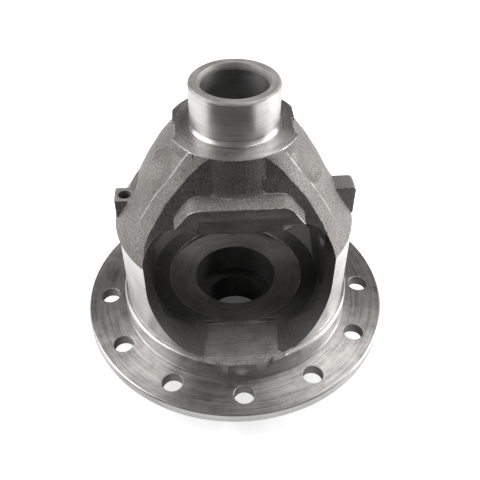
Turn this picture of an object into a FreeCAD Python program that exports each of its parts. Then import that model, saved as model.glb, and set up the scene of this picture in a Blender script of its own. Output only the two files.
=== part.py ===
import FreeCAD, Part
import math
import os

from FreeCAD import Vector

# Open differential carrier case, cast in one piece and machined.
# Millimetres. The turning axis is Z, the origin is the centre of the lower journal's end face,
# X is the cross pin's axis, and the two windows face -Y and +Y.

# Bearing journals and shoulders
journal_diameter = 45.24
lower_journal_length = 17.5
upper_journal_length = 22.5
journal_chamfer = 1.0
journal_relief_depth = 0.35
journal_relief_length = 2.6
journal_root_chamfer = 1.5
lower_shoulder_diameter = 68.0
lower_shoulder_height = 1.5

# Ring gear flange and register; the margins run from the register to the bolt circle to the edge
flange_thickness = 7.0
flange_edge_chamfer = 0.8
bolt_count = 12
bolt_register_margin = 10.2
bolt_edge_margin = 12.8
bolt_hole_diameter = 11.4
register_diameter = 135.0
register_height = 12.6
register_chamfer = 1.0
register_undercut = 0.6
neck_groove_depth = 0.5
neck_groove_width = 1.6

# Turned body above the register
body_diameter = 130.4
turned_height = 64.5

# Heights above the ring gear seat
pin_height = 50.0
shoulder_height = 123.0

# Bores along the turning axis
axle_bore_diameter = 33.7
axle_bore_lead = 1.0
axle_bore_lead_depth = 3.5
hub_bore_diameter = 48.4
hub_bore_depth = 19.2
gear_space = 72.0
thrust_face_diameter = 79.2
thrust_face_recess = 2.5

# Cross pin bore, gear seats and lock bolt
pin_diameter = 22.2
pin_bore_chamfer = 0.6
pinion_seat_radius = 51.6
lock_bolt_tap_diameter = 6.6
lock_bolt_offset = 59.8
lock_bolt_overrun = 6.0
lock_bolt_chamfer = 0.5

# Cast dome: radius and height above the seat of its top, and of the corners of its outline below
dome_top_radius = 28.6
dome_mid_radius = 39.3
dome_mid_height = 110.0
dome_waist_radius = 46.6
dome_waist_height = 98.0
dome_low_radius = 52.6
dome_low_height = 86.0
dome_foot_rise = 0.4
core_shift_x = 1.0
core_shift_y = 1.0
hub_shift_x = 0.6

# Cast hub under the upper shoulder
hub_diameter = 66.8
hub_flat_width = 61.4
hub_root_height = 100.2
hub_root_radius = 4.0
hub_notch_depth = 1.5
hub_notch_width = 14.0
hub_notch_offset = 5.0

# Rims of the two arch faces
arch_face_offset = 31.5
arch_face_lean_height = 112.0
arch_face_bend_height = 85.0
arch_face_bend_offset = 34.3
arch_face_foot_height = 64.0
arch_face_foot_offset = 52.5
rim_width = 6.2
rim_top_radius = 34.0
rim_rise = 1.1
rim_foot_sink = 1.5

# Scooped pockets in the dome's sides, beside the front arch face
scoop_radius = 24.0
scoop_depth = 3.4
scoop_angle = 22.0
scoop_height = 108.0

# Lintel over each window
lintel_face_offset = 42.5
lintel_top_height = 102.8
lintel_bottom_height = 89.2
lintel_top_width = 48.0
lintel_corner_width = 67.0
lintel_corner_height = 90.0
lintel_draft = 2.6
lintel_corner_radius = 8.0
lintel_cut_width = 76.0
boss_ring_diameter = 90.4
slot_width = 41.0
slot_top_height = 94.0
slot_face_offset = 40.2
floor_slot_height = 12.7
floor_slot_step = 2.0

# Cavity
cavity_diameter = 113.8
cavity_width = 99.0
cavity_corner_chamfer = 7.0
wall_thickness = 8.5

# Windows
window_inner_width = 92.0
window_inner_offset = 30.0
window_outer_width = 114.0
window_outer_offset = 67.0
window_top_height = 82.5
window_top_radius = 17.0
window_inner_floor = 17.5
window_outer_floor = 11.4
window_inner_radius = 26.0
window_outer_radius = 38.0

# Cross pin bosses
pin_boss_width = 11.8
pin_boss_radius = 65.9
pin_boss_height = 82.0
pin_boss_round = 2.6
lock_pad_height = 79.3
lock_pad_reach = 65.3
lock_pad_cutter_radius = 8.5

# Values that follow from the sizes above
journal_radius = journal_diameter / 2
bolt_circle_radius = register_diameter / 2 + bolt_register_margin
flange_radius = bolt_circle_radius + bolt_edge_margin
lower_shoulder_z = lower_journal_length
flange_back_z = lower_shoulder_z + lower_shoulder_height
seat_z = flange_back_z + flange_thickness
register_top_z = seat_z + register_height
turned_top_z = seat_z + turned_height
pin_z = seat_z + pin_height
lower_thrust_z = pin_z - gear_space / 2
upper_thrust_z = pin_z + gear_space / 2
shoulder_z = seat_z + shoulder_height
top_z = shoulder_z + upper_journal_length
floor_z = lower_thrust_z + thrust_face_recess
ceiling_z = upper_thrust_z - thrust_face_recess
body_radius = body_diameter / 2
core_axis = Vector(-core_shift_x, 0, 0)
hub_axis = Vector(-hub_shift_x, -core_shift_y, 0)
clear = 20.0
reach = 2 * flange_radius


def at(radius, height):
    """A point of a profile in the XZ plane."""
    return Vector(radius, 0, height)


def polyline(points):
    """Straight edges from each point to the next."""
    return [Part.LineSegment(a, b).toShape() for a, b in zip(points, points[1:])]


def arc(start, middle, end):
    """An arc through three points."""
    return Part.Arc(start, middle, end).toShape()


def turned(points, axis=Vector(0, 0, 0)):
    """A solid turned from a closed profile of straight lines, about the vertical line through axis."""
    face = Part.Face(Part.makePolygon(points + points[:1]))
    solid = face.revolve(Vector(0, 0, 0), Vector(0, 0, 1), 360)
    solid.translate(axis)
    return solid


def cylinder(radius, low_z, high_z, axis=Vector(0, 0, 0)):
    """A vertical cylinder between two heights."""
    return Part.makeCylinder(radius, high_z - low_z, axis + Vector(0, 0, low_z))


def block(low, high):
    """A box between two opposite corners."""
    size = high - low
    return Part.makeBox(size.x, size.y, size.z, low)


def to_rear(shape):
    """The same shape turned half a turn about the axis, for the rear side."""
    copy = shape.copy()
    copy.rotate(Vector(0, 0, 0), Vector(0, 0, 1), 180)
    return copy


def turned_base():
    """Lower journal, shoulder, flange, register and turned body, without the bores."""
    r = journal_radius
    relief_r = r - journal_relief_depth
    relief_z = lower_shoulder_z - journal_relief_length
    shoulder_r = lower_shoulder_diameter / 2
    flange_r = flange_radius
    register_r = register_diameter / 2
    groove_z = register_top_z + neck_groove_width
    profile = [
        at(0, 0),
        at(r - journal_chamfer, 0),
        at(r, journal_chamfer),
        at(r, relief_z),
        at(relief_r, relief_z + journal_relief_depth),
        at(relief_r, lower_shoulder_z),
        at(shoulder_r - flange_edge_chamfer, lower_shoulder_z),
        at(shoulder_r, lower_shoulder_z + flange_edge_chamfer),
        at(shoulder_r, flange_back_z),
        at(flange_r - flange_edge_chamfer, flange_back_z),
        at(flange_r, flange_back_z + flange_edge_chamfer),
        at(flange_r, seat_z - flange_edge_chamfer),
        at(flange_r - flange_edge_chamfer, seat_z),
        at(register_r + register_undercut, seat_z),
        at(register_r - register_undercut, seat_z - register_undercut),
        at(register_r - register_undercut, seat_z + 2 * register_undercut),
        at(register_r, seat_z + 3 * register_undercut),
        at(register_r, register_top_z - register_chamfer),
        at(register_r - register_chamfer, register_top_z),
        at(body_radius - neck_groove_depth, register_top_z),
        at(body_radius - neck_groove_depth, groove_z - neck_groove_depth),
        at(body_radius, groove_z),
        at(body_radius, turned_top_z),
        at(0, turned_top_z),
    ]
    return turned(profile)


def dome_solid(top_radius, rise, foot_radius):
    """A dome between the hub and the turned body, with its middle moved outwards by rise."""
    profile = [
        at(top_radius, shoulder_z),
        at(dome_mid_radius + rise, seat_z + dome_mid_height),
        at(dome_waist_radius + rise, seat_z + dome_waist_height),
        at(dome_low_radius + rise, seat_z + dome_low_height),
        at(foot_radius, turned_top_z),
        at(0, turned_top_z),
        at(0, shoulder_z),
    ]
    return turned(profile, core_axis)


def rims():
    """The raised rims beside the arch faces, front and rear, which sink into the dome at their foot."""
    inner = arch_face_offset - rim_width
    slab = block(Vector(-reach, -body_radius, turned_top_z), Vector(reach, -inner, shoulder_z))
    rim = dome_solid(rim_top_radius, rim_rise, body_radius - rim_foot_sink).common(slab)
    return rim.fuse(to_rear(rim))


def arch_face_cut():
    """The space in front of the arch face, which is flat, leans outwards and bends at its foot."""
    bend_z = seat_z + arch_face_bend_height
    foot_z = seat_z + arch_face_foot_height
    lean = math.sqrt(0.5)
    middle_y = arch_face_bend_offset + (arch_face_foot_offset - arch_face_bend_offset) * (1 - lean)
    high = Vector(-reach, -arch_face_offset, shoulder_z + clear)
    flat = Vector(-reach, -arch_face_offset, seat_z + arch_face_lean_height)
    start = Vector(-reach, -arch_face_bend_offset, bend_z)
    middle = Vector(-reach, -middle_y, bend_z - (bend_z - foot_z) * lean)
    end = Vector(-reach, -arch_face_foot_offset, foot_z)
    low = Vector(-reach, -reach, foot_z)
    front = Vector(-reach, -reach, shoulder_z + clear)
    edges = polyline([high, flat, start]) + [arc(start, middle, end)]
    edges += polyline([end, low, front, high])
    return Part.Face(Part.Wire(edges)).extrude(Vector(2 * reach, 0, 0))


def scoop(side):
    """A ball-shaped pocket in the dome's front, at one side."""
    fall = (dome_waist_radius - dome_mid_radius) / (dome_mid_height - dome_waist_height)
    skin_r = dome_mid_radius - fall * (scoop_height - dome_mid_height)
    sunk = scoop_radius - scoop_depth
    slant = math.atan(fall)
    centre = at(skin_r + sunk * math.cos(slant), seat_z + scoop_height + sunk * math.sin(slant))
    ball = Part.makeSphere(scoop_radius, centre)
    turn = -scoop_angle if side > 0 else 180 + scoop_angle
    ball.rotate(Vector(0, 0, 0), Vector(0, 0, 1), turn)
    ball.translate(core_axis)
    return ball


def hub():
    """The cast hub under the upper shoulder, flared at its root and flattened at its sides."""
    r = hub_diameter / 2
    root_z = seat_z + hub_root_height
    bend = hub_root_radius * (1 - math.sqrt(0.5))
    profile = [
        at(r, root_z + hub_root_radius),
        at(r + bend, root_z + bend),
        at(r + hub_root_radius, root_z),
        at(r + hub_root_radius, root_z - hub_root_radius),
        at(0, root_z - hub_root_radius),
        at(0, shoulder_z),
        at(r, shoulder_z),
    ]
    half = hub_flat_width / 2
    slab = block(Vector(-half, -reach, 0) + hub_axis, Vector(half, reach, top_z) + hub_axis)
    low = Vector(half - hub_notch_depth, -hub_notch_offset - hub_notch_width / 2, 0) + hub_axis
    high = Vector(reach, -hub_notch_offset + hub_notch_width / 2, top_z) + hub_axis
    right_notch = block(low, high)
    left_notch = right_notch.mirror(hub_axis, Vector(1, 0, 0))
    return turned(profile, hub_axis).common(slab).cut([right_notch, left_notch])


def lintel_outline(offset, shrink):
    """The lintel's outline seen from the front, at one distance from the axis."""
    top = seat_z + lintel_top_height - shrink
    corner = seat_z + lintel_corner_height - shrink
    half_top = lintel_top_width / 2
    half_corner = lintel_corner_width / 2
    foot = seat_z + window_top_height - window_top_radius
    outline = [
        Vector(-half_corner, -offset, foot),
        Vector(-half_corner, -offset, corner),
        Vector(-half_top, -offset, top),
        Vector(half_top, -offset, top),
        Vector(half_corner, -offset, corner),
        Vector(half_corner, -offset, foot),
    ]
    return Part.makePolygon(outline + outline[:1])


def lintel():
    """The arch of metal over a window, cast with draft and rounded corners."""
    root = lintel_outline(window_inner_offset - rim_width, 0)
    face = lintel_outline(lintel_face_offset, lintel_draft)
    lump = Part.makeLoft([root, face], True, True)
    low = seat_z + lintel_corner_height - 2 * lintel_draft
    depth = lintel_face_offset - window_inner_offset
    corners = [e for e in lump.Edges if e.BoundBox.YLength > depth and e.BoundBox.ZMin > low]
    return lump.makeFillet(lintel_corner_radius, corners)


def window_outline(offset, width, floor, radius):
    """One section of the window opening, parallel to XZ."""
    half = width / 2
    top = seat_z + window_top_height
    low = seat_z + floor
    top_r = window_top_radius
    lean = math.sqrt(0.5)

    def point(x, z):
        """A point of this section."""
        return Vector(x, -offset, z)

    def corner(side, radius, centre_z, up):
        """An arc that rounds one corner, with its two ends and its middle."""
        centre_x = side * (half - radius)
        beside = point(side * half, centre_z)
        over = point(centre_x, centre_z + up * radius)
        middle = point(centre_x + side * radius * lean, centre_z + up * radius * lean)
        return beside, middle, over

    low_right = corner(1, radius, low + radius, -1)
    high_right = corner(1, top_r, top - top_r, 1)
    low_left = corner(-1, radius, low + radius, -1)
    high_left = corner(-1, top_r, top - top_r, 1)
    edges = [
        Part.LineSegment(low_left[2], low_right[2]).toShape(),
        arc(low_right[2], low_right[1], low_right[0]),
        Part.LineSegment(low_right[0], high_right[0]).toShape(),
        arc(high_right[0], high_right[1], high_right[2]),
        Part.LineSegment(high_right[2], high_left[2]).toShape(),
        arc(high_left[2], high_left[1], high_left[0]),
        Part.LineSegment(high_left[0], low_left[0]).toShape(),
        arc(low_left[0], low_left[1], low_left[2]),
    ]
    return Part.Wire(edges)


def window_cut():
    """The opening of one window, flared outwards."""
    inner = window_outline(
        window_inner_offset, window_inner_width, window_inner_floor, window_inner_radius)
    outer = window_outline(
        window_outer_offset, window_outer_width, window_outer_floor, window_outer_radius)
    return Part.makeLoft([inner, outer], True, True)


def lintel_cuts():
    """What milling takes off under the lintel: a relief around the boss ring, and the slots."""
    half = lintel_cut_width / 2
    relief = block(
        Vector(-half, -reach, pin_z), Vector(half, -arch_face_bend_offset, seat_z + lintel_bottom_height))
    relief = relief.cut(cylinder(boss_ring_diameter / 2, 0, top_z))
    slot = block(
        Vector(-slot_width / 2, -reach, pin_z),
        Vector(slot_width / 2, -slot_face_offset, seat_z + slot_top_height))
    floor_slot = block(
        Vector(-slot_width / 2, -reach, seat_z + floor_slot_height),
        Vector(slot_width / 2, floor_slot_step - slot_face_offset, pin_z))
    return [relief, slot, floor_slot]


def cavity():
    """The space for the gears: turned walls, flat pads at the pin and a floor and a ceiling."""
    r = cavity_diameter / 2
    corner = cavity_corner_chamfer
    high_r = dome_low_radius - wall_thickness + (seat_z + dome_low_height - ceiling_z) / 2
    profile = [
        at(r - corner, floor_z),
        at(r, floor_z + corner),
        at(r, turned_top_z - wall_thickness / 2),
        at(high_r, ceiling_z),
        at(0, ceiling_z),
        at(0, floor_z),
    ]
    half = cavity_width / 2
    slab = block(Vector(-half, -reach, 0), Vector(half, reach, top_z))
    space = turned(profile).common(slab)
    seat = Part.makeSphere(pinion_seat_radius, Vector(0, 0, pin_z))
    boss = cylinder(pinion_seat_radius, 0, top_z)
    level = block(Vector(-reach, -reach, floor_z + corner), Vector(reach, reach, ceiling_z - corner))
    return space.fuse(seat.common(level).common(boss))


def bores():
    """The thrust counterbores, hub bores and axle bore, all on the turning axis."""
    thrust_r = thrust_face_diameter / 2
    hub_r = hub_bore_diameter / 2
    axle_r = axle_bore_diameter / 2
    low = lower_thrust_z - hub_bore_depth
    high = upper_thrust_z + hub_bore_depth
    lead_r = axle_r + axle_bore_lead
    profile = [
        at(0, 0),
        at(lead_r, 0),
        at(axle_r, axle_bore_lead),
        at(axle_r, low),
        at(hub_r, low),
        at(hub_r, lower_thrust_z),
        at(thrust_r, lower_thrust_z),
        at(thrust_r, upper_thrust_z),
        at(hub_r, upper_thrust_z),
        at(hub_r, high),
        at(axle_r, high),
        at(axle_r, top_z - axle_bore_lead_depth),
        at(lead_r, top_z),
        at(0, top_z),
    ]
    return turned(profile)


def upper_journal():
    """The upper bearing journal with its relief and chamfered root."""
    r = journal_radius
    relief_r = r - journal_relief_depth
    relief_z = shoulder_z + journal_relief_length
    root = journal_root_chamfer
    profile = [
        at(relief_r + root, shoulder_z),
        at(relief_r + root, shoulder_z - root),
        at(0, shoulder_z - root),
        at(0, top_z),
        at(r - journal_chamfer, top_z),
        at(r, top_z - journal_chamfer),
        at(r, relief_z + journal_relief_depth),
        at(relief_r, relief_z),
        at(relief_r, shoulder_z + root),
    ]
    return turned(profile)


def pin_boss(side, radius, height):
    """A narrow cast boss over one end of the cross pin."""
    half = pin_boss_width / 2
    inner = dome_low_radius - wall_thickness / 2
    span = block(Vector(inner, -half, turned_top_z), Vector(reach, half, seat_z + height))
    boss = span.common(cylinder(radius, turned_top_z, seat_z + height))
    if side < 0:
        boss = to_rear(boss)
    return boss


def rounded_pin_boss():
    """The boss opposite the lock bolt, as cast, with its outer top edge rounded."""
    boss = pin_boss(1, pin_boss_radius, pin_boss_height)
    middle = Vector(pin_boss_radius, 0, seat_z + pin_boss_height)
    edge = min(boss.Edges, key=lambda e: e.CenterOfMass.distanceToPoint(middle))
    return boss.makeFillet(pin_boss_round, [edge])


def bolt_holes():
    """The ring of ring gear bolt holes."""
    place = Vector(bolt_circle_radius, 0, 0)
    tool = cylinder(bolt_hole_diameter / 2, flange_back_z, seat_z, place)
    holes = []
    for index in range(bolt_count):
        hole = tool.copy()
        hole.rotate(Vector(0, 0, 0), Vector(0, 0, 1), 360 * index / bolt_count)
        holes.append(hole)
    return holes


def pin_bore():
    """The cross pin's bore, through both walls, with chamfers outside."""
    r = pin_diameter / 2
    bore = Part.makeCylinder(r, 2 * reach, Vector(-reach, 0, pin_z), Vector(1, 0, 0))
    depth = pin_bore_chamfer + pin_boss_radius - body_radius
    cone = Part.makeCone(r, r + depth, depth, Vector(pin_boss_radius - depth, 0, pin_z), Vector(1, 0, 0))
    return bore.fuse([cone, to_rear(cone)])


def lock_bolt_hole():
    """The tapped hole that runs down from the pad and crosses the pin's bore."""
    r = lock_bolt_tap_diameter / 2
    pad_z = seat_z + lock_pad_height
    end_z = pin_z - pin_diameter / 2 - lock_bolt_overrun
    profile = [
        at(0, end_z),
        at(r, end_z),
        at(r, pad_z - lock_bolt_chamfer),
        at(r + lock_bolt_chamfer, pad_z),
        at(0, pad_z),
    ]
    return turned(profile, Vector(-lock_bolt_offset, 0, 0))


def lock_pad_cut():
    """The space above the pad that its facing cutter clears, with the cutter's way out to the rear."""
    pad_z = seat_z + lock_pad_height
    r = lock_pad_cutter_radius
    plunge = cylinder(r, pad_z, shoulder_z, Vector(-lock_bolt_offset, 0, 0))
    way_out = block(Vector(-reach, 0, pad_z), Vector(r - lock_bolt_offset, reach, shoulder_z))
    return plunge.fuse(way_out)


def carrier_case():
    """The whole case, as one casting with its machining."""
    cast = dome_solid(dome_top_radius, 0, body_radius + dome_foot_rise).fuse(rims())
    cast = cast.cut([scoop(-1), scoop(1)])
    front_cut = arch_face_cut()
    cast = cast.cut([front_cut, to_rear(front_cut)])
    front_lintel = lintel()
    bosses = [rounded_pin_boss(), pin_boss(-1, lock_pad_reach, lock_pad_height)]
    for piece in [hub(), front_lintel, to_rear(front_lintel)] + bosses:
        cast = cast.fuse(piece)
    shape = turned_base().fuse(cast).fuse(upper_journal())
    tools = [window_cut()] + lintel_cuts()
    tools += [to_rear(tool) for tool in tools]
    shape = shape.cut(cavity())
    shape = shape.cut(tools)
    shape = shape.cut([bores(), pin_bore(), lock_pad_cut(), lock_bolt_hole()])
    return shape.cut(bolt_holes()).removeSplitter()


def main():
    """Build the case and write its file."""
    os.makedirs("parts", exist_ok=True)
    shape = carrier_case()
    print("solids", len(shape.Solids), "valid", shape.isValid(), "litres", round(shape.Volume / 1e6, 4))
    print("box", shape.BoundBox)
    shape.exportStep("parts/carrier_case.step")


main()
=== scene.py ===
"""Finish, floor, light and camera for an open differential carrier case.

Everything is in metres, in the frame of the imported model: the turning axis is Z, the case
stands on its lower journal at the origin, the cross pin runs along X and the windows face
-Y and +Y.
"""
import logging
import math
from collections.abc import Sequence
from dataclasses import dataclass
from enum import Enum
from typing import Any

import bmesh
import bpy
import numpy as np
from mathutils import Matrix, Vector


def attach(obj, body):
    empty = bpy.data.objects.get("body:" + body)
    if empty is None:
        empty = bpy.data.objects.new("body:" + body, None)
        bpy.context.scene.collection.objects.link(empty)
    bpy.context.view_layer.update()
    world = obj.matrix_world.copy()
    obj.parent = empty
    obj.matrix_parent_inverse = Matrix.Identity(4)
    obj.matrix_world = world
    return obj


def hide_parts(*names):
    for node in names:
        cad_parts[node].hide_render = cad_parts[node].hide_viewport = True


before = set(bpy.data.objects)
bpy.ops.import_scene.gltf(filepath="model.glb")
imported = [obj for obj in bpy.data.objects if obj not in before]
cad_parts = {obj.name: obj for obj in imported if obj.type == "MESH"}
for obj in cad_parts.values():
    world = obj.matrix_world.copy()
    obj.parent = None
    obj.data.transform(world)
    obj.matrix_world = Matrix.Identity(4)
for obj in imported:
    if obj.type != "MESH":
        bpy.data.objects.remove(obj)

MM = 0.001
LOG = logging.getLogger("carrier")

Pair = tuple[float, float]
Triple = tuple[float, float, float]
Profile = tuple[Pair, ...]


class Zone(Enum):
    """How a surface of the casting was left, in the order of the material slots; some zones also
    carry painted shade or a painted highlight.
    """

    CAST = 0
    TURNED = 1
    FACED = 2
    MILLED = 3
    # cavity faces, given a darker copy of the skin as painted shade
    INNER = 4
    # bore walls, given darker steel as painted shade
    BORE = 5
    # rounded edges, painted bright: wear and painted highlight
    EDGE = 6
    # thrust seats, given darker steel as painted shade
    SEAT = 7
    RING = 8


class Value:
    """A socket of a shader tree that takes part in Python expressions."""

    def __init__(self, tree: "Shader", socket: bpy.types.NodeSocket | None) -> None:
        """Keeps the socket and the tree that it belongs to."""
        self.tree = tree
        self.socket = socket

    def _math(self, operation: str, *others: Any) -> "Value":
        """Adds one Math node.

        Args:
            operation: the Math node's operation.
            others: what stands in its inputs, in order.

        Returns:
            The result as a new value.
        """
        inputs = dict(enumerate(others))
        return self.tree.node("ShaderNodeMath", {"operation": operation}, inputs)

    def __add__(self, other: Any) -> "Value":
        """self + other."""
        return self._math("ADD", self, other)

    def __radd__(self, other: float) -> "Value":
        """other + self."""
        return self._math("ADD", other, self)

    def __sub__(self, other: Any) -> "Value":
        """self - other."""
        return self._math("SUBTRACT", self, other)

    def __rsub__(self, other: float) -> "Value":
        """other - self."""
        return self._math("SUBTRACT", other, self)

    def __mul__(self, other: Any) -> "Value":
        """self * other."""
        return self._math("MULTIPLY", self, other)

    def __rmul__(self, other: float) -> "Value":
        """other * self."""
        return self._math("MULTIPLY", other, self)

    def __truediv__(self, other: Any) -> "Value":
        """self / other."""
        return self._math("DIVIDE", self, other)

    def __rtruediv__(self, other: float) -> "Value":
        """other / self."""
        return self._math("DIVIDE", other, self)

    def root(self) -> "Value":
        """The square root."""
        return self._math("SQRT", self)

    def step(self, low: float, high: float) -> "Value":
        """A smooth step from 0 at low to 1 at high.

        Args:
            low: the value that gives 0.
            high: the value that gives 1.

        Returns:
            The step as a new value.
        """
        settings = {"interpolation_type": "SMOOTHSTEP"}
        inputs = {0: self, 1: low, 2: high, 3: 0.0, 4: 1.0}
        return self.tree.node("ShaderNodeMapRange", settings, inputs)


@dataclass(frozen=True)
class Noise:
    """The settings of one noise: cells to a unit, finer layers and how strong these are."""

    scale: float
    detail: float
    roughness: float


class Shader:
    """A material's or the world's node tree, and the one method that adds nodes to it."""

    def __init__(self, owner: bpy.types.ID) -> None:
        """Starts an empty tree.

        Args:
            owner: the material or world whose tree it is.
        """
        owner.use_nodes = True
        self.tree = owner.node_tree
        self.tree.nodes.clear()

    def node(
        self, kind: str, settings: dict[str, Any], inputs: dict[Any, Any], output: Any = 0,
    ) -> Value:
        """Adds a node.

        Args:
            kind: the node's type.
            settings: properties of the node, which are set first.
            inputs: a number, a colour or a Value for each socket, by name or by place.
            output: the output to return, by name or by place.

        Returns:
            That output as a Value, which holds no socket where the node has no output.
        """
        node = self.tree.nodes.new(kind)
        for name, setting in settings.items():
            setattr(node, name, setting)
        for name, value in inputs.items():
            if isinstance(value, Value):
                self.tree.links.new(value.socket, node.inputs[name])
            else:
                node.inputs[name].default_value = value
        return Value(self, node.outputs[output] if node.outputs else None)

    def place(self) -> Value:
        """The point on the object, in metres."""
        return self.node("ShaderNodeTexCoord", {}, {}, "Object")

    def ray(self, kind: str) -> Value:
        """1 for one kind of ray, such as Is Camera Ray, and 0 for the others."""
        return self.node("ShaderNodeLightPath", {}, {}, kind)

    def axes(self, vector: Value) -> tuple[Value, ...]:
        """The three numbers of a vector."""
        first = self.node("ShaderNodeSeparateXYZ", {}, {0: vector})
        return tuple(Value(self, socket) for socket in first.socket.node.outputs)

    def vector(self, x: Any, y: Any, z: Any) -> Value:
        """A vector from three numbers."""
        return self.node("ShaderNodeCombineXYZ", {}, {0: x, 1: y, 2: z})

    def blend(self, factor: Any, first: Any, second: Any) -> Value:
        """A colour between two.

        Args:
            factor: 0 for the first and 1 for the second.
            first: a colour.
            second: a colour.

        Returns:
            The colour.
        """
        settings = {"data_type": "RGBA", "clamp_factor": True}
        return self.node("ShaderNodeMix", settings, {"Factor": factor, 6: first, 7: second}, 2)

    def noise(self, vector: Value, kind: Noise) -> Value:
        """Noise from 0 to 1.

        Args:
            vector: where it is read.
            kind: its settings.

        Returns:
            The noise as a Value.
        """
        inputs = {
            "Vector": vector, "Scale": kind.scale, "Detail": kind.detail,
            "Roughness": kind.roughness,
        }
        return self.node("ShaderNodeTexNoise", {"noise_dimensions": "3D"}, inputs, "Fac")

    def round_lines(self, around: float, across: float) -> Value:
        """Fine lines that run round the turning axis, as a tool leaves them.

        The noise is read at (radius, height, place round the axis), where the first two are
        scaled up by across and the last is the unit circle scaled by around, so that it closes
        on itself. A very small length keeps the radius off zero.

        Args:
            around: how quickly the lines change along their run.
            across: how fine they are, in cells to a metre.

        Returns:
            Noise from 0 to 1.
        """
        x, y, z = self.axes(self.place())
        radius = (x * x + y * y).root() + 1e-6
        steep = self.vector((radius + z) * across, x / radius * around, y / radius * around)
        return self.noise(steep, Noise(1.0, 4.0, 0.7))

    def bump(self, height: Value, distance: float, strength: float) -> Value:
        """A Bump node.

        Args:
            height: the height, from 0 to 1.
            distance: what 1 stands for, in metres.
            strength: the share of it that is used.

        Returns:
            The normal.
        """
        inputs = {"Height": height, "Distance": distance, "Strength": strength}
        return self.node("ShaderNodeBump", {}, inputs)

    def surface(self, **sockets: Any) -> None:
        """Closes the tree with a Principled shader.

        Args:
            sockets: its sockets, with their spaces written as underscores.
        """
        inputs = {name.replace("_", " "): value for name, value in sockets.items()}
        self.close(self.node("ShaderNodeBsdfPrincipled", {}, inputs))

    def glow(self, level: float, strength: float) -> Value:
        """An Emission shader of a grey."""
        return self.node("ShaderNodeEmission", {}, {"Color": grey(level), "Strength": strength})

    def close(self, shader: Value) -> None:
        """Ends a material's tree with a shader."""
        self.node("ShaderNodeOutputMaterial", {}, {"Surface": shader})


def grey(level: float, warm: float = 0.0) -> tuple[float, float, float, float]:
    """A grey colour.

    Args:
        level: its lightness, linear.
        warm: how much red is added and blue is taken off, as a share.

    Returns:
        The colour with full alpha.
    """
    return (level * (1 + warm), level, level * (1 - warm), 1.0)


def mixed(parts: Sequence[Value], shares: Sequence[float]) -> Value:
    """Adds up values, each times its share.

    Args:
        parts: the values.
        shares: the share of each.

    Returns:
        The sum.
    """
    total = parts[0] * shares[0]
    for part, share in zip(parts[1:], shares[1:]):
        total = total + part * share
    return total


@dataclass(frozen=True)
class Finish:
    """What the finishes share.

    In all of them a field named step holds where a smooth step starts and ends, and one named
    shares holds how much each noise counts, in the order in which the noises are named.
    """

    def material(self, name: str) -> bpy.types.Material:
        """Builds the material.

        Args:
            name: its name.

        Returns:
            The material.
        """
        material = bpy.data.materials.new(name)
        self.draw(Shader(material))
        return material

    def draw(self, tree: Shader) -> None:
        """Draws the finish into an empty tree."""
        raise NotImplementedError


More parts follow.
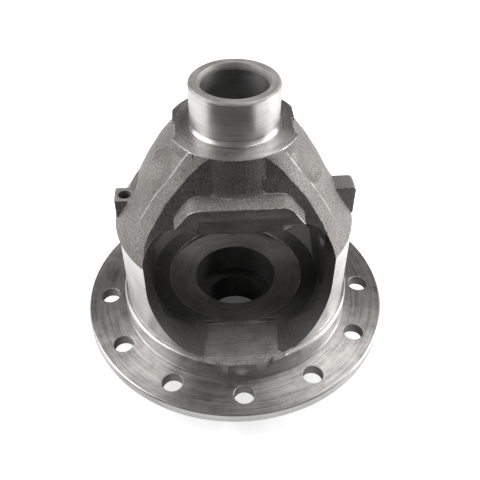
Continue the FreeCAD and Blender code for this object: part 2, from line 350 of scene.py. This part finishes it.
@dataclass(frozen=True)
class CastSkin(Finish):
    """The skin that the sand mould left: grainy, dull, warm grey, with darker patches and pits.

    A thin line along the outer edge of each rim beside the arch faces is painted bright: partly
    rubbed wear, partly a painted highlight where the rim's narrow face would catch the light.
    """

    level: float = 0.40
    dark: float = 0.15
    warm: float = 0.055
    depth: float = 0.00030
    strength: float = 0.9
    metallic: float = 0.35
    roughness: float = 0.46
    uneven: float = 0.15
    sand: Noise = Noise(1500.0, 3.0, 0.6)
    sand_step: Pair = (0.36, 0.66)
    coarse: Noise = Noise(375.0, 2.0, 0.5)
    patch: Noise = Noise(45.0, 4.0, 0.6)
    patch_step: Pair = (0.36, 0.66)
    patch_level: float = 0.72
    patch_warm: float = 1.6
    pit: Noise = Noise(714.28571, 1.0, 0.4)
    pit_step: Pair = (0.66, 0.76)
    pit_field: Noise = Noise(90.0, 1.0, 0.5)
    pit_field_step: Pair = (0.52, 0.66)
    pit_share: float = 0.75
    pit_level: float = 0.4
    height_shares: Triple = (0.6, 0.5, -1.6)
    rub_highlight_level: float = 0.66
    rub_highlight_warm: float = 0.5
    rub_highlight_share: float = 0.85
    rub_highlight_noise: Noise = Noise(260.0, 2.0, 0.5)
    rub_highlight_step: Pair = (0.30, 0.52)
    rub_highlight_side_start: Pair = (0.0251, 0.0254)
    rub_highlight_side_end: Pair = (0.0258, 0.0264)
    rub_highlight_across: Pair = (0.0230, 0.0236)
    rub_highlight_low: Pair = (0.104, 0.112)
    rub_highlight_high: Pair = (0.1480, 0.1488)

    def draw(self, tree: Shader) -> None:
        """Draws the skin into an empty tree."""
        place = tree.place()
        sand = tree.noise(place, self.sand)
        coarse = tree.noise(place, self.coarse)
        patch = tree.noise(place, self.patch).step(*self.patch_step)
        pits = tree.noise(place, self.pit).step(*self.pit_step)
        pits = pits * tree.noise(place, self.pit_field).step(*self.pit_field_step)
        clean = grey(self.level, self.warm)
        stained = grey(self.level * self.patch_level, self.warm * self.patch_warm)
        light = tree.blend(patch, clean, stained)
        toned = tree.blend(sand.step(*self.sand_step), grey(self.dark, self.warm), light)
        hollow = grey(self.dark * self.pit_level, self.warm)
        colour = tree.blend(pits * self.pit_share, toned, hollow)
        # the rims' edge line is painted bright: rubbed wear and a painted highlight
        bright = grey(self.rub_highlight_level, self.warm * self.rub_highlight_warm)
        height = mixed((sand, coarse, pits), self.height_shares)
        tree.surface(
            Base_Color=tree.blend(self._rubbed_and_highlight(tree, place), colour, bright),
            Metallic=self.metallic,
            Roughness=self.roughness + sand * self.uneven,
            Normal=tree.bump(height, self.depth, self.strength),
        )

    def _rubbed_and_highlight(self, tree: Shader, place: Value) -> Value:
        """Says how far the skin is painted bright: partly rubbed wear, partly a painted highlight.

        The line lies between two distances from the plane through the axis and the cross pin.
        It ends where the rim meets the hub and fades towards the rim's foot.

        Args:
            tree: the tree to draw in.
            place: the point on the object.

        Returns:
            The share, 0 off the line.
        """
        x, y, z = tree.axes(place)
        across, side = (x * x).root(), (y * y).root()
        line = side.step(*self.rub_highlight_side_start) * (1.0 - side.step(*self.rub_highlight_side_end))
        line = line * across.step(*self.rub_highlight_across)
        length = z.step(*self.rub_highlight_low) * (1.0 - z.step(*self.rub_highlight_high))
        return line * length * (tree.noise(place, self.rub_highlight_noise).step(*self.rub_highlight_step) * self.rub_highlight_share)


@dataclass(frozen=True)
class WornHighlightEdge(Finish):
    """An edge of the cast skin, painted bright in places: partly rubbed wear, partly a painted
    highlight.
    """

    bright: float = 0.58
    dull: float = 0.30
    warm: float = 0.02
    shade: float = 0.5
    depth: float = 0.0001
    strength: float = 0.6
    metallic: float = 0.4
    rubbed_metallic: float = 0.5
    roughness: float = 0.5
    rubbed_smooth: float = 0.14
    broad: Noise = Noise(85.0, 3.0, 0.6)
    fine: Noise = Noise(700.0, 2.0, 0.6)
    shares: Pair = (0.6, 0.4)
    step: Pair = (0.46, 0.60)
    grain: Noise = Noise(1300.0, 3.0, 0.6)
    grain_step: Pair = (0.36, 0.66)

    def draw(self, tree: Shader) -> None:
        """Draws the edge into an empty tree."""
        place = tree.place()
        rubs = tree.noise(place, self.broad), tree.noise(place, self.fine)
        rubbed = mixed(rubs, self.shares).step(*self.step)
        grain = tree.noise(place, self.grain).step(*self.grain_step)
        low, high = grey(self.dull * self.shade, self.warm), grey(self.dull, self.warm)
        tree.surface(
            # the brighter colour is partly rubbed wear, partly a painted highlight
            Base_Color=tree.blend(rubbed, tree.blend(grain, low, high), grey(self.bright)),
            Metallic=rubbed * self.rubbed_metallic + self.metallic,
            Roughness=self.roughness - rubbed * self.rubbed_smooth,
            Normal=tree.bump(grain, self.depth, self.strength),
        )


@dataclass(frozen=True)
class TurnedSteel(Finish):
    """A bright turned cylinder: fine grooves round the axis spread what it mirrors up and down.

    The quarter turn lays the spread across the grooves.
    """

    level: float = 0.66
    dark: float = 0.40
    warm: float = 0.01
    roughness: float = 0.26
    rough_shares: Pair = (0.10, 0.14)
    fine_lines: Pair = (1.2, 2600.0)
    broad_lines: Pair = (0.8, 520.0)
    depth: float = 0.000012
    depth_shares: Pair = (0.6, 0.4)
    strength: float = 0.5
    spread: float = 0.65
    quarter: float = 0.25
    cloud: Noise = Noise(60.0, 4.0, 0.65)
    shares: Triple = (0.4, 0.25, 0.35)
    step: Pair = (0.34, 0.64)
    stain: Noise = Noise(240.0, 3.0, 0.6)
    stain_step: Pair = (0.60, 0.78)
    stain_share: float = 0.45
    stain_level: float = 0.55
    stain_warm: float = 0.03

    def draw(self, tree: Shader) -> None:
        """Draws the cylinder's finish into an empty tree."""
        fine, broad = tree.round_lines(*self.fine_lines), tree.round_lines(*self.broad_lines)
        cloud = tree.noise(tree.place(), self.cloud)
        stain = tree.noise(tree.place(), self.stain).step(*self.stain_step)
        shade = mixed((fine, broad, cloud), self.shares).step(*self.step)
        clean = tree.blend(shade, grey(self.dark, self.warm), grey(self.level, self.warm))
        stained = grey(self.dark * self.stain_level, self.stain_warm)
        tree.surface(
            Base_Color=tree.blend(stain * self.stain_share, clean, stained),
            Metallic=1.0,
            Roughness=self.roughness + mixed((fine, cloud), self.rough_shares),
            Anisotropic=self.spread,
            Anisotropic_Rotation=self.quarter,
            Normal=tree.bump(mixed((fine, broad), self.depth_shares), self.depth, self.strength),
        )


@dataclass(frozen=True)
class FacedSteel(Finish):
    """A face turned dull and grey, with rings, clouds and stray scratches."""

    level: float = 0.56
    warm: float = 0.035
    dark: float = 0.17
    dark_warm: float = 0.045
    metallic: float = 0.95
    roughness: float = 0.30
    rough_shares: Pair = (0.12, 0.16)
    fine_lines: Pair = (2.2, 1900.0)
    broad_lines: Pair = (1.0, 316.66667)
    depth: float = 0.00002
    depth_shares: Pair = (0.6, 0.4)
    strength: float = 0.6
    spread: float = 0.75
    quarter: float = 0.25
    cloud: Noise = Noise(75.0, 5.0, 0.72)
    shares: Triple = (0.42, 0.26, 0.32)
    step: Pair = (0.34, 0.64)
    scratch: Noise = Noise(1.0, 2.0, 0.7)
    scratch_cells: Triple = (1800.0, 60.0, 900.0)
    scratch_slant: Pair = (0.8, 0.6)
    scratch_step: Pair = (0.64, 0.74)
    scratch_share: float = 0.3
    scratch_level: float = 1.4

    def draw(self, tree: Shader) -> None:
        """Draws the face's finish into an empty tree."""
        fine, broad = tree.round_lines(*self.fine_lines), tree.round_lines(*self.broad_lines)
        cloud = tree.noise(tree.place(), self.cloud)
        scratch = tree.noise(self._slanted(tree), self.scratch).step(*self.scratch_step)
        shade = mixed((fine, broad, cloud), self.shares).step(*self.step)
        clean = tree.blend(shade, grey(self.dark, self.dark_warm), grey(self.level, self.warm))
        bared = grey(self.level * self.scratch_level)
        tree.surface(
            Base_Color=tree.blend(scratch * self.scratch_share, clean, bared),
            Metallic=self.metallic,
            Roughness=self.roughness + mixed((fine, cloud), self.rough_shares),
            Anisotropic=self.spread,
            Anisotropic_Rotation=self.quarter,
            Normal=tree.bump(mixed((fine, broad), self.depth_shares), self.depth, self.strength),
        )

    def _slanted(self, tree: Shader) -> Value:
        """Turns the place about Z and stretches it along one slant, for stray scratches.

        Args:
            tree: the tree to draw in.

        Returns:
            The place, in cells.
        """
        x, y, z = tree.axes(tree.place())
        cosine, sine = self.scratch_slant
        across, along, up = self.scratch_cells
        slanted = x * cosine + y * sine, y * cosine - x * sine
        return tree.vector(slanted[0] * across, slanted[1] * along, z * up)


@dataclass(frozen=True)
class MilledSteel(Finish):
    """A flat that a cutter left, dull and dark, with fine straight lines along X."""

    level: float = 0.34
    dark: float = 0.17
    warm: float = 0.04
    dark_warm: float = 2.0
    metallic: float = 0.6
    roughness: float = 0.42
    uneven: float = 0.16
    depth: float = 0.00003
    depth_shares: Pair = (0.6, 0.4)
    strength: float = 0.7
    cells: Triple = (90.0, 1600.0, 1600.0)
    lines: Noise = Noise(1.0, 3.0, 0.7)
    cloud: Noise = Noise(90.0, 4.0, 0.65)
    grain: Noise = Noise(1500.0, 2.0, 0.6)
    shares: Triple = (0.4, 0.35, 0.25)
    step: Pair = (0.37, 0.63)

    def draw(self, tree: Shader) -> None:
        """Draws the flat's finish into an empty tree."""
        stretched = [axis * cells for axis, cells in zip(tree.axes(tree.place()), self.cells)]
        lines = tree.noise(tree.vector(*stretched), self.lines)
        cloud, grain = tree.noise(tree.place(), self.cloud), tree.noise(tree.place(), self.grain)
        shade = mixed((lines, cloud, grain), self.shares).step(*self.step)
        dark = grey(self.dark, self.warm * self.dark_warm)
        tree.surface(
            Base_Color=tree.blend(shade, dark, grey(self.level, self.warm)),
            Metallic=self.metallic,
            Roughness=self.roughness + lines * self.uneven,
            Normal=tree.bump(mixed((lines, grain), self.depth_shares), self.depth, self.strength),
        )


@dataclass(frozen=True)
class CarrierCase:
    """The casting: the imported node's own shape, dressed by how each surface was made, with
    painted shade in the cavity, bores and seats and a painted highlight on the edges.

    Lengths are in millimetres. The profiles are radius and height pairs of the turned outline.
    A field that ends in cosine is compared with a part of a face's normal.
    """

    # The turned outline
    outside: Profile = (
        (0.0, 0.0), (21.62, 0.0), (22.62, 1.0), (22.62, 14.9), (22.27, 15.2), (22.27, 17.5),
        (33.2, 17.5), (34.0, 18.3), (34.0, 19.0), (89.7, 19.0), (90.5, 19.8), (90.5, 25.2),
        (89.7, 26.0), (68.1, 26.0), (66.9, 25.4), (66.9, 27.2), (67.5, 27.8), (67.5, 37.6),
        (66.5, 38.6), (64.7, 38.6), (64.7, 39.7), (65.2, 40.2), (65.2, 90.5),
    )
    upper: Profile = (
        (16.85, 168.0), (17.85, 171.5), (21.62, 171.5), (22.62, 170.5), (22.62, 151.95),
        (22.27, 151.6), (22.27, 150.5), (23.77, 149.0), (34.4, 149.0),
    )
    seats: Profile = ((24.2, 40.0), (39.6, 40.0), (39.6, 42.5))
    low_bore: Profile = (
        (17.85, 0.0), (16.85, 1.0), (16.85, 20.8), (24.2, 20.8), (24.2, 40.0),
    )
    high_bore: Profile = (
        (39.6, 109.5), (39.6, 112.0), (24.2, 112.0), (24.2, 131.2), (16.85, 131.2),
        (16.85, 168.0),
    )
    near_limit: float = 0.3
    # What a face's normal has to be for its zone
    round_cosine: float = 0.12
    level_cosine: float = 0.95
    flat_cosine: float = 0.97
    inner_cosine: float = 0.25
    upward_cosine: float = 0.5
    bolt_cosine: float = 0.9
    ring_cosine: float = 0.1
    # The lintels' flats and the slots in the floor below them
    lintel_y: float = 34.25
    lintel_x: float = 38.2
    lintel_top: float = 128.5
    arch_low: float = 70.0
    slot_x: float = 20.9
    slot_y: float = 38.0
    slot_low: float = 37.9
    slot_radius: float = 67.2
    # The lock bolt's pad, the flange's bolt holes and the upper journal's end
    pad_top: float = 105.3
    pad_x: float = -50.0
    pad_reach: float = 0.1
    flange_top: float = 25.95
    bolt_near: float = 71.5
    bolt_far: float = 84.0
    ring_low: float = 167.0
    # The cavity, which is narrower between the windows' jambs; its faces get a darker copy of the
    # skin as painted shade
    cavity_radius: float = 58.2
    jamb_radius: float = 64.9
    jamb_y: float = 31.0
    cavity_low: float = 38.0
    cavity_high: float = 110.0
    boss_low: float = 60.0
    # The rounding of edges
    merge_limit: float = 0.002
    flat_angle: float = math.radians(0.6)
    sharp_angle: float = math.radians(24)
    edge_round: float = 0.35
    round_steps: int = 2
    even_weight: int = 60
    # The mending of crossed outlines
    mend_limit: float = 0.42
    mend_rounds: int = 4
    cross_share: float = 1.02
    cross_area: float = 0.02
    # The lips of the thrust recesses, which are worn and get a painted highlight
    lip_radius: float = 39.6
    lip_heights: Pair = (42.5, 109.5)
    lip_reach: float = 0.5
    # The floor slots' mouths and the notches under the lintels, whose edges stay sharp
    mouth_x: float = 27.0
    mouth_y: float = 58.5
    mouth_heights: Pair = (37.0, 39.5)
    notch_x: float = 22.0
    notch_y: float = 39.0
    notch_heights: Pair = (109.0, 121.0)
    # The pockets in the dome, whose rims get neither wear nor a painted highlight
    pocket_x: float = 24.0
    pocket_y: float = 24.7
    pocket_heights: Pair = (100.0, 147.5)

    @staticmethod
    def _distance(radius: np.ndarray, height: np.ndarray, profile: np.ndarray) -> np.ndarray:
        """How far points lie from a profile.

        Each point is projected on every run of the profile, the projection is clipped to the
        run, and the least distance over all runs is kept.

        Args:
            radius: the points' radii, in millimetres.
            height: their heights.
            profile: the profile's corners, one row each.

        Returns:
            The distance of each point.
        """
        start, run = profile[:-1], np.diff(profile, axis=0)
        point = np.stack([radius, height], -1)[:, None, :]
        share = ((point - start) * run).sum(-1) / (run * run).sum(-1)
        foot = start + np.clip(share, 0, 1)[..., None] * run
        return np.linalg.norm(point - foot, axis=-1).min(1)

    def zones(self, centre: np.ndarray, normal: np.ndarray) -> np.ndarray:
        """Says how each face was made.

        A face is turned where it lies on one of the profiles and its normal has no part along
        the circle, and faced where that normal also points up or down. A later line takes a
        face from the zone that an earlier one gave it.

        Args:
            centre: the faces' centres, in metres.
            normal: their normals.

        Returns:
            The Zone's number for each face.
        """
        x, y, z = (centre / MM).T
        side, up = np.abs(y), normal[:, 2]
        radius = np.maximum(np.hypot(x, y), 1e-6)
        along = (normal[:, 1] * x - normal[:, 0] * y) / radius
        outward = (normal[:, 0] * x + normal[:, 1] * y) / radius
        level = np.abs(up) > self.level_cosine
        flat = np.abs(normal[:, 1]) > self.flat_cosine

        def near(*profiles: Profile) -> np.ndarray:
            """Whether each face is turned and lies on one of the profiles."""
            least = [self._distance(radius, z, np.array(profile)) for profile in profiles]
            return (np.abs(along) < self.round_cosine) & (np.min(least, axis=0) < self.near_limit)

        zone = np.full(len(x), Zone.CAST.value)
        limit = np.where(side < self.jamb_y, self.cavity_radius, self.jamb_radius)
        cavity_shade = (z > self.cavity_low) & (z < self.cavity_high) & (radius < limit)
        boss_top = (up > self.upward_cosine) & (z > self.boss_low)
        # painted shade: cavity faces that do not face outward, except the bosses' tops, get the
        # darker skin
        zone[cavity_shade & (outward < self.inner_cosine) & ~boss_top] = Zone.INNER.value
        lintel = flat & (side > self.lintel_y) & (np.abs(x) < self.lintel_x)
        lintel &= (z > self.arch_low) & (z < self.lintel_top)
        slot = (side > self.slot_y) & (np.abs(x) < self.slot_x) & (radius < self.slot_radius)
        slot &= (z > self.slot_low) & (z < self.arch_low)
        zone[lintel | slot] = Zone.MILLED.value
        pad = level & (np.abs(z - self.pad_top) < self.pad_reach) & (x < self.pad_x)
        zone[pad] = Zone.RING.value
        bored = near(self.low_bore, self.high_bore)
        # level faces in the bores get the same painted shade
        zone[bored] = np.where(level[bored], Zone.INNER.value, Zone.BORE.value)
        bolted = (z < self.flange_top) & (radius > self.bolt_near) & (radius < self.bolt_far)
        zone[bolted & (up < self.bolt_cosine) & ~level] = Zone.RING.value
        turned = near(self.outside, self.upper, self.seats)
        zone[turned] = Zone.TURNED.value
        zone[turned & level] = Zone.FACED.value
        zone[near(self.seats)] = Zone.SEAT.value
        zone[turned & (z > self.ring_low) & (up > self.ring_cosine)] = Zone.RING.value
        return zone

    def build(self) -> bpy.types.Object:
        """Copies the node's mesh with its doubles merged and its sharp edges rounded.

        Returns:
            The piece.
        """
        form = bmesh.new()
        form.from_mesh(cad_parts["carrier_case"].data)
        bmesh.ops.remove_doubles(form, verts=form.verts, dist=self.merge_limit * MM)
        form.normal_update()
        for face, zone in zip(form.faces, self.zones(*self._lay(form))):
            face.material_index = zone
        bmesh.ops.dissolve_limit(
            form, angle_limit=self.flat_angle, verts=form.verts, edges=form.edges,
            delimit={"MATERIAL"},
        )
        self._round(form)
        self._order(form)
        mesh = bpy.data.meshes.new("casting")
        form.to_mesh(mesh)
        form.free()
        mesh.polygons.foreach_set("use_smooth", np.ones(len(mesh.polygons), bool))
        piece = bpy.data.objects.new("casting", mesh)
        bpy.context.scene.collection.objects.link(piece)
        even = piece.modifiers.new("even", "WEIGHTED_NORMAL")
        even.weight = self.even_weight
        return piece

    def _round(self, form: bmesh.types.BMesh) -> None:
        """Rounds the sharp edges, and gives those between cast and milled faces their wear and
        painted highlight.

        Args:
            form: the casting, with its faces in their zones.
        """
        sharp = [
            edge for edge in form.edges
            if edge.is_manifold and edge.calc_face_angle(0.0) > self.sharp_angle
            and not self._crowded(edge)
        ]
        made = bmesh.ops.bevel(
            form, geom=sharp, offset=self.edge_round * MM, offset_type="OFFSET",
            segments=self.round_steps, profile=0.5, affect="EDGES", clamp_overlap=False,
            material=-1,
        )
        rims = set(made["faces"])
        self._mend(form)
        rims = {face for face in rims if face.is_valid}
        form.normal_update()
        plain = {Zone.CAST.value, Zone.MILLED.value}
        for face in rims:
            beside = {other for edge in face.edges for other in edge.link_faces} - rims
            nearby = {other.material_index for other in beside}
            centre = face.calc_center_median()
            # edges between cast and milled faces, and the recess lips, are painted bright: wear
            # and painted highlight
            worn = nearby and nearby <= plain and not self._pocket(centre)
            if worn or self._lip(centre):
                face.material_index = Zone.EDGE.value

    @staticmethod
    def _lay(form: bmesh.types.BMesh) -> tuple[np.ndarray, np.ndarray]:
        """The faces' centres and normals, as two arrays of (n, 3)."""
        centre = np.array([face.calc_center_median() for face in form.faces])
        return centre, np.array([face.normal for face in form.faces])

    def _mend(self, form: bmesh.types.BMesh) -> None:
        """Draws together the close corners of faces whose outline crosses itself.

        A face is crossed where its triangles together are larger than its own area, because
        the parts that lie on each other count twice. The corners are sorted by place, so that
        each run draws the same ones together.

        Args:
            form: the casting after the rounding.
        """
        slack = self.cross_area * MM * MM
        for _ in range(self.mend_rounds):
            area: dict[bmesh.types.BMFace, float] = {}
            for first, second, third in form.calc_loop_triangles():
                side, other = second.vert.co - first.vert.co, third.vert.co - first.vert.co
                area[first.face] = area.get(first.face, 0.0) + side.cross(other).length / 2
            crossed = [
                face for face, laid in area.items()
                if laid > face.calc_area() * self.cross_share + slack
            ]
            corners = {corner for face in crossed for corner in face.verts}
            LOG.info("crossed outlines: %d", len(crossed))
            if not corners:
                break
            corners = sorted(corners, key=lambda corner: corner.co[:])
            bmesh.ops.remove_doubles(form, verts=corners, dist=self.mend_limit * MM)

    @staticmethod
    def _order(form: bmesh.types.BMesh) -> None:
        """Puts the faces in the order of their centres, because merging shuffles them.

        Args:
            form: the casting in its last shape.
        """
        ordered = sorted(form.faces, key=lambda face: face.calc_center_median()[:])
        for place, face in enumerate(ordered):
            face.index = place
        form.faces.sort()

    def _crowded(self, edge: bmesh.types.BMEdge) -> bool:
        """Whether an edge is too close to the next, in a notch or at a floor slot's mouth.

        Args:
            edge: the edge.

        Returns:
            True where it has to stay sharp.
        """
        x, y, z = (abs(value) / MM for value in (edge.verts[0].co + edge.verts[1].co) / 2)
        (notch_low, notch_high), (mouth_low, mouth_high) = self.notch_heights, self.mouth_heights
        notch = x < self.notch_x and y > self.notch_y and notch_low < z < notch_high
        return notch or (x < self.mouth_x and y > self.mouth_y and mouth_low < z < mouth_high)

    def _lip(self, point: Vector) -> bool:
        """Whether a point lies on the round lip of a thrust recess.

        Args:
            point: the point, in metres.

        Returns:
            True where it does.
        """
        radius, z = math.hypot(point.x, point.y) / MM, point.z / MM
        gap = min(abs(z - height) for height in self.lip_heights)
        return abs(radius - self.lip_radius) < self.lip_reach and gap < self.lip_reach

    def _pocket(self, point: Vector) -> bool:
        """Whether a point lies on the soft rim of a pocket in the dome.

        Args:
            point: the point, in metres.

        Returns:
            True where it may.
        """
        x, y, z = (abs(value) / MM for value in point)
        low, high = self.pocket_heights
        return x > self.pocket_x and y < self.pocket_y and low < z < high

    def dress(self, piece: bpy.types.Object) -> None:
        """Gives each zone its finish, hides the imported node and attaches the piece to the root
        body.

        Args:
            piece: the casting.
        """
        finishes = {
            Zone.CAST: ("cast_skin", CastSkin()),
            Zone.TURNED: ("turned_bright", TurnedSteel()),
            Zone.FACED: ("faced_grey", FacedSteel()),
            Zone.MILLED: ("milled_flat", MilledSteel()),
            # the same cast skin made darker: painted shade in the cavity
            Zone.INNER: ("inner_skin_painted_shade", CastSkin(level=0.15, dark=0.065, warm=0.03, depth=0.00012)),
            # the turned steel made darker: painted shade inside the bores
            Zone.BORE: ("bore_painted_shade", TurnedSteel(level=0.26, dark=0.15, roughness=0.45)),
            # rounded edges painted bright: wear and painted highlight
            Zone.EDGE: ("edge_worn_highlight", WornHighlightEdge()),
            # the faced steel made darker: painted shade on the seats inside the cavity
            Zone.SEAT: ("seat_painted_shade", FacedSteel(level=0.29, dark=0.13, roughness=0.36)),
            Zone.RING: (
                "ring_satin", FacedSteel(level=0.52, dark=0.28, roughness=0.5, spread=0.0),
            ),
        }
        for zone in Zone:
            name, finish = finishes[zone]
            piece.data.materials.append(finish.material(name))
        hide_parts("carrier_case")
        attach(piece, "root")


@dataclass(frozen=True)
class LockBoltThread:
    """The thread in the lock bolt's hole.

    The surface runs round the hole by the angle a and down it by the height h. Its radius is
    the crest's plus the groove's depth times a triangle wave of h / pitch + a / turn, so that
    the wave climbs by one pitch each turn.
    """

    offset: float = -59.8 * MM
    crest: float = 3.06 * MM
    groove: float = 0.22 * MM
    pitch: float = 1.25 * MM
    top: float = 104.7 * MM
    depth: float = 15.0 * MM
    around: int = 48
    steps: int = 8
    finish: MilledSteel = MilledSteel(level=0.3, dark=0.16)

    def build(self) -> bpy.types.Object:
        """Builds the thread's surface.

        Returns:
            The piece.
        """
        rows = int(self.depth / self.pitch) * self.steps + 1
        angle = np.linspace(0, 2 * math.pi, self.around, endpoint=False)
        height = self.top - np.linspace(0, self.depth, rows)
        turn, fall = np.meshgrid(angle, height)
        phase = np.mod(fall / self.pitch + turn / (2 * math.pi), 1.0)
        radius = self.crest + self.groove * (1 - np.abs(2 * phase - 1))
        points = np.stack([self.offset + radius * np.cos(turn), radius * np.sin(turn), fall], -1)
        index = np.arange(rows * self.around).reshape(rows, self.around)
        right = np.roll(index, -1, axis=1)
        faces = np.stack([index[:-1], right[:-1], right[1:], index[1:]], -1).reshape(-1, 4)
        mesh = bpy.data.meshes.new("lock_thread")
        mesh.from_pydata(points.reshape(-1, 3).tolist(), [], faces.tolist())
        mesh.update()
        piece = bpy.data.objects.new("lock_thread", mesh)
        bpy.context.scene.collection.objects.link(piece)
        return piece

    def dress(self, piece: bpy.types.Object) -> None:
        """Gives the thread its finish and attaches it to the root body.

        Args:
            piece: the thread.
        """
        piece.data.materials.append(self.finish.material("tapped_thread"))
        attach(piece, "root")


@dataclass(frozen=True)
class Lamp:
    """A square soft lamp that faces the case, with its side in metres and its power in watts."""

    name: str
    place: Triple
    size: float
    power: float

    def hang(self, aim: Triple) -> None:
        """Hangs the lamp.

        Args:
            aim: the point that it faces.
        """
        light = bpy.data.lights.new(self.name, "AREA")
        light.shape = "SQUARE"
        light.size = self.size
        light.energy = self.power
        lamp = bpy.data.objects.new(self.name, light)
        lamp.location = self.place
        towards = Vector(aim) - Vector(self.place)
        lamp.rotation_euler = towards.to_track_quat("-Z", "Y").to_euler()
        bpy.context.scene.collection.objects.link(lamp)


@dataclass(frozen=True)
class Studio:
    """The white floor, the dark card in front, the soft lamps, the world and the camera.

    Lengths are in metres and angles in degrees. shadow_seen_radii and shadow_mirrored_radii hold
    radii:
    where the floor turns white to the camera, and where it does so in the metal; inside them it
    keeps a painted shadow under the case. shadow_seen_rest is the share of white that it shows
    inside the first.
    """

    eye: Triple = (-0.016655, -0.271962, 0.318815)
    target: Triple = (0.002825, -0.000202, 0.068016)
    lens: float = 47.438
    sensor: float = 36.0
    roll: float = 0.222
    clip: Pair = (0.01, 20.0)
    floor_half: float = 3.0
    floor_levels: Pair = (0.35, 0.75)
    floor_glow: float = 0.72
    shadow_seen_radii: Pair = (0.022, 0.055)
    shadow_seen_rest: float = 0.08
    shadow_mirrored_radii: Pair = (0.090, 0.108)
    world_level: float = 0.10
    sheen_level: float = 0.21
    card_turn: Pair = (-70.0, 46.0)
    card_reach: Pair = (0.125, 0.9)
    card_steps: int = 24
    card_height: float = 0.002
    card_level: float = 0.02
    aim: Triple = (0.0, 0.0, 0.09)
    lamps: tuple[Lamp, ...] = (
        Lamp("panel_left", (-0.82, 0.06, 0.70), 0.75, 8.55),
        Lamp("panel_right", (0.47, 0.16, 1.00), 0.60, 4.50),
        Lamp("low_right", (1.00, 0.06, 0.40), 0.50, 7.65),
    )

    @staticmethod
    def sheet(name: str, corners: list[Triple], faces: list[tuple[int, ...]]) -> bpy.types.Object:
        """Adds one flat piece of the studio.

        Args:
            name: its name.
            corners: its corners.
            faces: its faces, as the numbers of their corners.

        Returns:
            The object, marked as stage.
        """
        mesh = bpy.data.meshes.new(name)
        mesh.from_pydata(corners, [], faces)
        sheet = bpy.data.objects.new(name, mesh)
        bpy.context.scene.collection.objects.link(sheet)
        return sheet

    def floor(self) -> None:
        """Lays the floor, white to the camera and in the metal, with a painted shadow under and
        round the case.
        """
        half = self.floor_half
        corners = [(-half, -half, 0), (half, -half, 0), (half, half, 0), (-half, half, 0)]
        floor = self.sheet("floor", corners, [(0, 1, 2, 3)])
        material = bpy.data.materials.new("floor_white")
        tree = Shader(material)
        x, y, _ = tree.axes(tree.place())
        radius = (x * x + y * y).root()
        # painted shadow: the floor stays dark under the case to the camera, and near it in the
        # metal
        unshadowed_seen = radius.step(*self.shadow_seen_radii) * (1.0 - self.shadow_seen_rest) + self.shadow_seen_rest
        unshadowed_mirrored = radius.step(*self.shadow_mirrored_radii)
        seen = tree.ray("Is Camera Ray") * unshadowed_seen + tree.ray("Is Glossy Ray") * unshadowed_mirrored
        colour = tree.blend(seen, *(grey(level) for level in self.floor_levels))
        plain = tree.node("ShaderNodeBsdfDiffuse", {}, {"Color": colour})
        glow, none = tree.glow(1.0, self.floor_glow), tree.glow(0.0, 0.0)
        added = tree.node("ShaderNodeMixShader", {}, {0: seen, 1: none, 2: glow})
        tree.close(tree.node("ShaderNodeAddShader", {}, {0: plain, 1: added}))
        floor.data.materials.append(material)

    def card(self) -> None:
        """Lays a dark fan round the front of the case, which only shows in the bright metal.

        Its corners run from the left turn to the right one, at the near and at the far reach.
        """
        near, far = self.card_reach
        turn = np.radians(np.linspace(*self.card_turn, self.card_steps + 1))
        sides = np.stack([np.sin(turn), -np.cos(turn)], axis=1)
        ring = np.concatenate([sides * near, sides * far])
        corners = np.column_stack([ring, np.full(len(ring), self.card_height)])
        first = np.arange(self.card_steps)
        across = len(turn)
        faces = np.stack([first, first + across, first + across + 1, first + 1], -1)
        card = self.sheet("card", corners.tolist(), faces.tolist())
        material = bpy.data.materials.new("card_black")
        tree = Shader(material)
        tree.close(tree.node("ShaderNodeBsdfDiffuse", {}, {"Color": grey(self.card_level)}))
        card.data.materials.append(material)
        card.visible_camera = False
        card.visible_shadow = False

    def world(self) -> None:
        """Sets the world: white behind the object, and a plain level of light on it."""
        world = bpy.data.worlds.new("studio")
        bpy.context.scene.world = world
        tree = Shader(world)
        camera = tree.ray("Is Camera Ray") * (1.0 - self.world_level)
        glossy = tree.ray("Is Glossy Ray") * (self.sheen_level - self.world_level)
        level = camera + glossy + self.world_level
        background = tree.node("ShaderNodeBackground", {}, {"Color": grey(1.0), "Strength": level})
        tree.node("ShaderNodeOutputWorld", {}, {"Surface": background})

    def camera(self) -> None:
        """Puts the camera at the photograph's place, with its small roll."""
        data = bpy.data.cameras.new("view")
        data.lens = self.lens
        data.sensor_width = self.sensor
        data.sensor_fit = "HORIZONTAL"
        data.clip_start, data.clip_end = self.clip
        camera = bpy.data.objects.new("view", data)
        eye, target = Vector(self.eye), Vector(self.target)
        back = (eye - target).normalized()
        right = Vector((0, 0, 1)).cross(back).normalized()
        up = back.cross(right)
        lean = math.radians(self.roll)
        side = right * math.cos(lean) + up * math.sin(lean)
        camera.matrix_world = Matrix((side, back.cross(side), back)).transposed().to_4x4()
        camera.location = eye
        bpy.context.scene.collection.objects.link(camera)
        bpy.context.scene.camera = camera

    def build(self) -> None:
        """Builds the whole studio."""
        self.floor()
        self.card()
        self.world()
        for lamp in self.lamps:
            lamp.hang(self.aim)
        self.camera()
        bpy.context.scene.view_settings.view_transform = "Standard"


def main() -> None:
    """Builds the case, its thread and the studio, and reports each piece."""
    logging.basicConfig(level=logging.INFO, format="%(name)s: %(message)s")
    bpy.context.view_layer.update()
    for part in (CarrierCase(), LockBoltThread()):
        piece = part.build()
        part.dress(piece)
        LOG.info("%s: %d faces", piece.name, len(piece.data.polygons))
    Studio().build()


if __name__ == "__main__":
    main()
